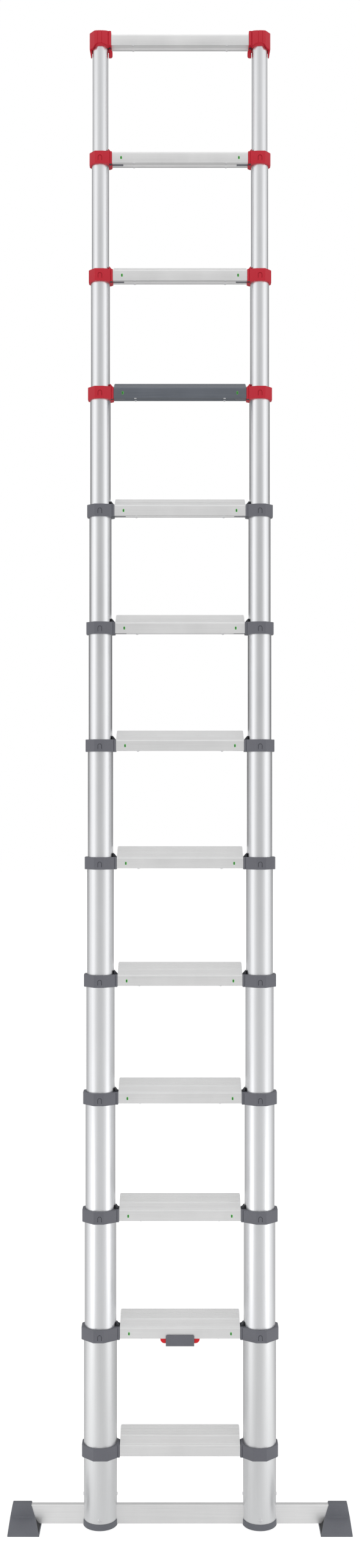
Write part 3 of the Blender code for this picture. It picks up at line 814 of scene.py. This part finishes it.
def make_top_caps():
    """Closed red caps: a fluted body on a tapered collar, a skirt and a hook."""
    level = RUNGS[-1]
    base = rung_base(level)
    radius = tube_radius(TUBES[-1])
    wall = 7.0 * MM
    cap = soft_prism("top_cap_right", fluted_corners(radius, wall),
                     (base - 4 * MM, base + CAP_TOP), soft=1.6 * MM)
    arch = [(STILE_X + across * MM, base + rise * MM) for across, rise in CAP_ARCH]
    arch += [(STILE_X + 20.5 * MM, base - 30 * MM), (STILE_X - 34 * MM, base - 30 * MM)]
    cap = cut(cap, prism("arch", arch, (-60 * MM, 60 * MM), "Y"))
    throat = radius + FIT_GAP
    taper = turned("taper", (STILE_X, 0, 0),
                   [(throat, base + 12 * MM), (throat, base + 0.7 * MM),
                    (throat + 1.4 * MM, base + 0.7 * MM), (radius + 5.4 * MM, base + 7 * MM),
                    (radius + 5.4 * MM, base + 12 * MM)])
    cap = join(cap, make_cap_hook(base, radius))
    cap = join(cap, make_cap_skirt(base, radius))
    cap = cut(cap, round_cutter(throat, (base - 30 * MM, base + CAP_DEPTH_INSIDE)))
    cap = join(cap, taper)
    cap = join(cap, make_plug(level))
    body = level_body(level)
    finish_pair(cap, "top_cap_left", body, RED_PLASTIC, "red_plastic", "top_cap_pair")
    # A dark plug set in the back of the gap between the cap's block and its hook: painted shade,
    # black where the recess falls into shadow.
    inner = STILE_X - radius
    corners = rectangle((inner - 6.4 * MM, inner - 1.8 * MM), CAP_GAP_SHADE_Y, LATCH_ROUND)
    latch = soft_prism("cap_gap_shade_right", corners, (base - MM, base + 5 * MM), soft=0.4 * MM)
    finish_pair(latch, "cap_gap_shade_left", body, DARK_PLASTIC, "grey_plastic")


# Base: bar, feet, screws -------------------------------------------------------------------

def make_stabiliser_bar():
    """A box tube with rounded long edges."""
    lo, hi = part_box("stabiliser_bar")
    corners = rectangle((lo.y, hi.y), (lo.z, hi.z), 2.6 * MM)
    bar = prism("bar_extrusion", rounded(corners), (lo.x, hi.x), "X")
    wall = 2 * MM
    hollow = rectangle((lo.y + wall, hi.y - wall), (lo.z + wall, hi.z - wall), MM)
    bar = cut(bar, prism("hollow", rounded(hollow), (lo.x - MM, hi.x + MM), "X"))
    finish_piece(bar, "base", BAR_METAL, "bar_aluminium", "stabiliser_bar")


BOOT_CREASE_Z = 24.0 * MM
# How far a boot's inner and outer sides lean in by the crease and by the top
BOOT_LEAN_INNER = (16.2 * MM, 25.9 * MM)
BOOT_LEAN_OUTER = (-1.4 * MM, -7.4 * MM)
SOLE_GROOVE_COUNT = 9
SOLE_GROOVE_PITCH = 14.0 * MM


def boot_corners():
    """Section of a stabiliser foot: a neck on a wedge with a deep level sole."""
    lo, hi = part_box("stabiliser_foot_right")
    neck, crease, toe = 11.8 * MM, BOOT_CREASE_Z, 5 * MM
    soft = 1.2 * MM
    return [(-hi.y, lo.z, soft), (hi.y, lo.z, soft), (hi.y, toe, soft),
            (neck, crease, 3 * MM), (neck, hi.z, soft), (-neck, hi.z, soft),
            (-neck, crease, 3 * MM), (-hi.y, toe, soft)]


def boot_hollow():
    """Section of the room inside a stabiliser foot."""
    hi = high("stabiliser_foot_right")
    floor, roof = 2.3 * MM, hi.z - 2.3 * MM
    neck, crease, sole = 9.5 * MM, 21.6 * MM, 60.0 * MM
    return [(-sole, floor), (sole, floor), (sole, 3.6 * MM), (neck, crease), (neck, roof),
            (-neck, roof), (-neck, crease), (-sole, 3.6 * MM)]


def lean(item, middle):
    """Lean a boot's two sides, in two straight steps that meet at the crease."""
    top = high("stabiliser_foot_right").z
    shape = bmesh.new()
    shape.from_mesh(item.data)
    bmesh.ops.bisect_plane(shape, geom=shape.verts[:] + shape.edges[:] + shape.faces[:],
                           plane_co=(0, 0, BOOT_CREASE_Z), plane_no=(0, 0, 1))
    for vertex in shape.verts:
        by_crease, by_top = BOOT_LEAN_INNER if vertex.co.x < middle else BOOT_LEAN_OUTER
        low_share = min(vertex.co.z / BOOT_CREASE_Z, 1.0)
        high_share = max((vertex.co.z - BOOT_CREASE_Z) / (top - BOOT_CREASE_Z), 0.0)
        vertex.co.x += by_crease * low_share + (by_top - by_crease) * high_share
    shape.to_mesh(item.data)
    shape.free()
    return item


def make_boot_shade_core(lo, hi):
    """The black core that grips the bar's end, set back inside a boot: painted shade that
    darkens the boot's hollow.
    """
    corners = [(y, z, 0.5 * MM) for y, z in boot_hollow()]
    outline = [corner[:2] for corner in inset(corners, FIT_GAP)]
    core = lean(prism("boot_shade_core_right", outline, (lo.x + 1.5 * MM, lo.x + 40 * MM), "X"),
                lo.x + 20 * MM)
    bar_low, bar_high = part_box("stabiliser_bar")
    room = block("room", (lo.x - 30 * MM, hi.x), (bar_low.y - FIT_GAP, bar_high.y + FIT_GAP),
                 (bar_low.z - FIT_GAP, bar_high.z + 5 * MM))
    return cut(core, room)


def make_stabiliser_feet():
    """Hollow rubber boots, open toward the ladder, with a grooved sole."""
    lo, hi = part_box("stabiliser_foot_right")
    boot = soft_prism("boot_right", boot_corners(), (lo.x, hi.x), "X", 0.9 * MM)
    boot = lean(boot, (lo.x + hi.x) / 2)
    end = high("stabiliser_bar").x + FIT_GAP
    boot = cut(boot, prism("hollow", boot_hollow(), (lo.x - 20 * MM, end), "X"))
    for row in range(SOLE_GROOVE_COUNT):
        y = (row - SOLE_GROOVE_COUNT // 2) * SOLE_GROOVE_PITCH
        groove = block("groove", (lo.x - 10 * MM, hi.x + 10 * MM),
                       (y - 1.2 * MM, y + 1.2 * MM), (-2 * MM, 1.0 * MM))
        boot = cut(boot, groove)
    other = mirrored_copy(boot, "boot_left")
    # The boot's hollow is lined in black: painted shade.
    core = make_boot_shade_core(lo, hi)
    finish_pair(core, "boot_shade_core_left", "base", HOLLOW_SHADE_BLACK, "foot_rubber")
    finish_piece(boot, "base", RUBBER, "foot_rubber", "stabiliser_foot_right")
    finish_piece(other, "base", RUBBER, "foot_rubber", "stabiliser_foot_left")


def make_tube_feet():
    """Cups on the lower ends of the stiles, slotted for the bar."""
    lo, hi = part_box("tube_foot_right")
    radius = (hi.x - lo.x) / 2
    inner = tube_radius(1) + FIT_GAP
    floor = low("stabiliser_bar").z - FIT_GAP
    soft = 0.5 * MM
    profile = [(0.0, lo.z), (radius - soft, lo.z), (radius, lo.z + soft),
               (radius, hi.z - soft), (radius - soft, hi.z), (inner, hi.z),
               (inner, floor), (0.0, floor)]
    cup = turned("cup_right", (STILE_X, 0, 0), profile)
    bar_low, bar_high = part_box("stabiliser_bar")
    slot = block("slot", (lo.x - MM, hi.x + MM), (bar_low.y - FIT_GAP, bar_high.y + FIT_GAP),
                 (floor, hi.z + MM))
    cup = cut(cup, slot)
    other = mirrored_copy(cup, "cup_left")
    finish_piece(cup, "base", RUBBER, "foot_rubber", "tube_foot_right")
    finish_piece(other, "base", RUBBER, "foot_rubber", "tube_foot_left")


BAR_SCREW_Z = 28.3 * MM
BAR_SCREW_RADIUS = 5.6 * MM
TUBE_RIVET_Z = 79.3 * MM
TUBE_RIVET_RADIUS = 4.0 * MM


def make_base_fasteners():
    """A cross-head screw in front of each lowest tube, and a rivet on each side of it."""
    radius = tube_radius(1)
    z = BAR_SCREW_Z
    for word, side in SIDES:
        screw = turned("bar_screw_" + word, (side * STILE_X, -radius + 0.2 * MM, z),
                       dome_profile(BAR_SCREW_RADIUS, 2.2 * MM, 2 * MM), 32, "Y")
        for size in ((0.8 * MM, 3.4 * MM), (3.4 * MM, 0.8 * MM)):
            arm = block("arm", (side * STILE_X - size[0], side * STILE_X + size[0]),
                        (-radius - 4 * MM, -radius - 0.7 * MM), (z - size[1], z + size[1]))
            screw = cut(screw, arm)
        finish_piece(screw, "base", STEEL, "pin_steel")
        for flank, way in (("outer", side), ("inner", -side)):
            axis = "X" if way > 0 else "-X"
            x = side * STILE_X + way * (radius - 0.1 * MM)
            rivet = turned("tube_rivet_%s_%s" % (word, flank), (x, 0, TUBE_RIVET_Z),
                           dome_profile(TUBE_RIVET_RADIUS, 1.9 * MM, MM), 24, axis)
            finish_piece(rivet, "base", STEEL, "pin_steel")


# Release unit ------------------------------------------------------------------------------

TAB_FRONT_Y = -19.5 * MM


def make_release_cover():
    """The cover under the second rung, rounded at the top of its front lip."""
    lo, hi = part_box("release_cover")
    roof = rung_base(2) + RUNG_LIFT - FIT_GAP
    top_round = 4.0 * MM
    corners = [(lo.x, lo.z, 0.8 * MM), (hi.x, lo.z, 0.8 * MM), (hi.x, hi.z, top_round),
               (lo.x, hi.z, top_round)]
    front = soft_prism("release_housing", corners, (lo.y, FACE_Y - FIT_GAP), "Y", 0.6 * MM)
    corners = [(lo.x, FACE_Y - 2 * MM, 0.5 * MM), (hi.x, FACE_Y - 2 * MM, 0.5 * MM),
               (hi.x, hi.y, 2 * MM), (lo.x, hi.y, 2 * MM)]
    body = soft_prism("body", corners, (lo.z, roof), soft=0.5 * MM)
    wall = 2.2 * MM
    hollow = block("hollow", (lo.x + wall, hi.x - wall), (FACE_Y, hi.y - wall),
                   (lo.z + wall, roof + 5 * MM))
    cover = cut(join(front, body), hollow)
    tab_low = low("release_slider_right")
    notch = block("notch", (lo.x - MM, hi.x + MM),
                  (TAB_FRONT_Y - FIT_GAP, -tab_low.y + FIT_GAP),
                  (tab_low.z - FIT_GAP, roof + 5 * MM))
    cover = cut(cover, notch)
    finish_piece(cover, "base", GREY_PLASTIC, "grey_plastic", "release_cover")


def make_release_sliders():
    """Red finger tabs with a rounded lower corner, on their riser and link."""
    lo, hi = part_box("release_slider_right")
    roof = rung_base(2) + RUNG_LIFT - 0.6 * MM
    edge = high("release_cover").x
    reach, depth, soft = 14.0 * MM, roof - lo.z, 0.5 * MM
    inner, outer = edge - 16 * MM, edge + reach
    corners = [(inner, lo.z, soft), (outer, lo.z, min(depth, reach) - MM),
               (outer, roof, soft), (inner, roof, soft)]
    tab = soft_prism("release_tab_right", corners, (TAB_FRONT_Y, -lo.y), "Y", 0.6 * MM)
    link_start, link_y = 24 * MM, (-4 * MM, 4 * MM)
    riser = block("riser", (link_start, 30 * MM), link_y, (roof - 4 * MM, hi.z))
    link = block("link", (link_start, hi.x), link_y, (hi.z - 6 * MM, hi.z))
    tab = join(join(tab, riser), link)
    other = mirrored_copy(tab, "release_tab_left")
    finish_piece(tab, "release_right", TAB_RED, "tab_red_plastic", "release_slider_right")
    finish_piece(other, "release_left", TAB_RED, "tab_red_plastic", "release_slider_left")


def make_lock_pins():
    """Turned pins with one groove and a chamfered tip."""
    lo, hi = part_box("lock_pin_right")
    radius = (hi.z - lo.z) / 2
    middle_z = (hi.z + lo.z) / 2
    length = hi.x - lo.x
    ring = 0.6 * MM
    profile = [(0.0, 0.0), (radius - ring, 0.0), (radius, ring), (radius, 4 * MM),
               (radius - ring, 4.6 * MM), (radius - ring, 6 * MM), (radius, 6.6 * MM),
               (radius, length - 1.5 * MM), (radius - 1.2 * MM, length), (0.0, length)]
    pin = turned("pin_right", (lo.x, 0, middle_z), profile, 32, "X")
    other = mirrored_copy(pin, "pin_left")
    finish_piece(pin, "release_right", STEEL, "pin_steel", "lock_pin_right")
    finish_piece(other, "release_left", STEEL, "pin_steel", "lock_pin_left")


# Studio ------------------------------------------------------------------------------------

CAMERA_DISTANCE = 4.037
CAMERA_HEIGHT = 1.889
CAMERA_LENS = 36.33


def make_camera():
    data = bpy.data.cameras.new("camera")
    data.lens = CAMERA_LENS
    data.sensor_width = 36.0
    data.clip_start, data.clip_end = 0.05, 100.0
    camera = bpy.data.objects.new("camera", data)
    camera.location = (0.0, -CAMERA_DISTANCE, CAMERA_HEIGHT)
    camera.rotation_euler = (math.pi / 2, 0.0, 0.0)
    bpy.context.scene.collection.objects.link(camera)
    bpy.context.scene.camera = camera


def make_softbox(name, place, target, size, power):
    light = bpy.data.lights.new(name, "AREA")
    light.shape = "RECTANGLE"
    light.size, light.size_y = size
    light.energy = power
    box = bpy.data.objects.new(name, light)
    box.location = place
    way = Vector(target) - Vector(place)
    box.rotation_euler = way.to_track_quat("-Z", "Y").to_euler()
    box.visible_camera = False
    bpy.context.scene.collection.objects.link(box)


# Studio brightness by direction: how far it points away from the camera, then the glow
STUDIO_GLOW = ((-1.0, 0.42), (-0.92, 0.48), (-0.7, 0.84), (-0.35, 1.0), (0.05, 0.88),
               (0.4, 0.36), (1.0, 0.04))
STUDIO_POWER = 1.08
OVERHEAD_GLOW = 0.70
FLOOR_BOUNCE = (0.22, 0.80)
FLOOR_NEAR_GLOW = 0.50
FLOOR_NEAR = (0.15, 0.75)
FLOOR_WHITE = 0.90


def studio_ramp(nodes, links, direction):
    """The glow along a direction, from behind the camera to past the ladder, and its height."""
    split = nodes.new("ShaderNodeSeparateXYZ")
    links.new(direction, split.inputs["Vector"])
    ramp = nodes.new("ShaderNodeValToRGB")
    stops = ramp.color_ramp.elements
    for index, (depth, glow) in enumerate(STUDIO_GLOW):
        stop = stops[index] if index < 2 else stops.new(1.0)
        stop.position = (depth + 1) / 2
        stop.color = (glow, glow, glow, 1.0)
    links.new(spread(nodes, links, split.outputs["Y"], 0.0, 1.0, -1.0, 1.0),
              ramp.inputs["Fac"])
    return ramp.outputs["Color"], split.outputs["Z"]


def make_world():
    """A white room whose walls glow unevenly, seen as plain white by the camera."""
    world = bpy.data.worlds.new("studio")
    world.use_nodes = True
    bpy.context.scene.world = world
    nodes, links = world.node_tree.nodes, world.node_tree.links
    nodes.clear()
    place = nodes.new("ShaderNodeTexCoord").outputs["Generated"]
    walls, height = studio_ramp(nodes, links, place)
    room = nodes.new("ShaderNodeMix")
    room.data_type = "RGBA"
    links.new(spread(nodes, links, height, 0.0, 1.0, 0.15, 0.7), room.inputs["Factor"])
    links.new(walls, room.inputs["A"])
    room.inputs["B"].default_value = (OVERHEAD_GLOW, OVERHEAD_GLOW, OVERHEAD_GLOW, 1.0)
    glow = nodes.new("ShaderNodeBackground")
    glow.inputs["Strength"].default_value = STUDIO_POWER
    links.new(room.outputs["Result"], glow.inputs["Color"])
    backdrop = nodes.new("ShaderNodeBackground")
    backdrop.inputs["Color"].default_value = (1.0, 1.0, 1.0, 1.0)
    mix = nodes.new("ShaderNodeMixShader")
    links.new(nodes.new("ShaderNodeLightPath").outputs["Is Camera Ray"], mix.inputs["Fac"])
    links.new(glow.outputs["Background"], mix.inputs[1])
    links.new(backdrop.outputs["Background"], mix.inputs[2])
    output = nodes.new("ShaderNodeOutputWorld")
    links.new(mix.outputs["Shader"], output.inputs["Surface"])


def make_floor():
    """A white floor that carries the glow of the walls on around the ladder's foot."""
    shape = bmesh.new()
    bmesh.ops.create_grid(shape, x_segments=1, y_segments=1, size=30.0)
    floor = mesh_object("studio_floor", shape)
    material = bpy.data.materials.new("studio_white")
    material.use_nodes = True
    nodes, links = material.node_tree.nodes, material.node_tree.links
    shader = nodes["Principled BSDF"]
    shader.inputs["Base Color"].default_value = (0.25, 0.25, 0.25, 1.0)
    shader.inputs["Roughness"].default_value = 0.9
    shader.inputs["Specular IOR Level"].default_value = 0.0
    shader.inputs["Emission Color"].default_value = (1.0, 1.0, 1.0, 1.0)
    place = nodes.new("ShaderNodeTexCoord").outputs["Object"]
    away = nodes.new("ShaderNodeVectorMath")
    away.operation = "NORMALIZE"
    links.new(place, away.inputs[0])
    distance = nodes.new("ShaderNodeVectorMath")
    distance.operation = "LENGTH"
    links.new(place, distance.inputs[0])
    walls = studio_ramp(nodes, links, away.outputs["Vector"])[0]
    bounce = nodes.new("ShaderNodeMix")
    links.new(spread(nodes, links, distance.outputs["Value"], 0.0, 1.0, *FLOOR_NEAR),
              bounce.inputs["Factor"])
    bounce.inputs["A"].default_value = FLOOR_NEAR_GLOW
    links.new(spread(nodes, links, walls, *FLOOR_BOUNCE, 0.0, 1.0), bounce.inputs["B"])
    strength = nodes.new("ShaderNodeMix")
    links.new(nodes.new("ShaderNodeLightPath").outputs["Is Camera Ray"],
              strength.inputs["Factor"])
    links.new(bounce.outputs["Result"], strength.inputs["A"])
    strength.inputs["B"].default_value = FLOOR_WHITE
    links.new(strength.outputs["Result"], shader.inputs["Emission Strength"])
    floor.data.materials.append(material)


SOFTBOX_TARGET = (0.0, 0.0, 1.9)


def make_studio():
    """White room, floor, side softboxes, low softboxes near the bar and one overhead."""
    make_camera()
    make_world()
    make_floor()
    for word, side in SIDES:
        make_softbox("softbox_" + word, (side * 3.4, -2.0, 2.4), SOFTBOX_TARGET, (1.8, 5.4), 5.0)
        make_softbox("low_softbox_" + word, (side * 1.5, -0.9, 0.32), (side * 0.2, 0.0, 0.2),
                     (0.8, 0.6), 1.2)
    make_softbox("softbox_top", (0.0, -1.2, 6.6), SOFTBOX_TARGET, (3.5, 3.5), 14.0)
    bpy.context.scene.view_settings.view_transform = "Standard"


# Build -------------------------------------------------------------------------------------

def build_ladder():
    for word, side in SIDES:
        for number in TUBES:
            make_tube(word, side, number)
    for level in RUNGS:
        make_rung(level)
        make_rung_rivets(level)
    for level in LOCKED_RUNGS:
        make_indicators(level)
        make_slide_bars(level)
        make_lugs(level)
        make_latches(level)
    for level in RUNGS[:-1]:
        make_collars(level)
    make_top_caps()
    make_stabiliser_bar()
    make_stabiliser_feet()
    make_tube_feet()
    make_base_fasteners()
    make_release_cover()
    make_release_sliders()
    make_lock_pins()


make_studio()
build_ladder()
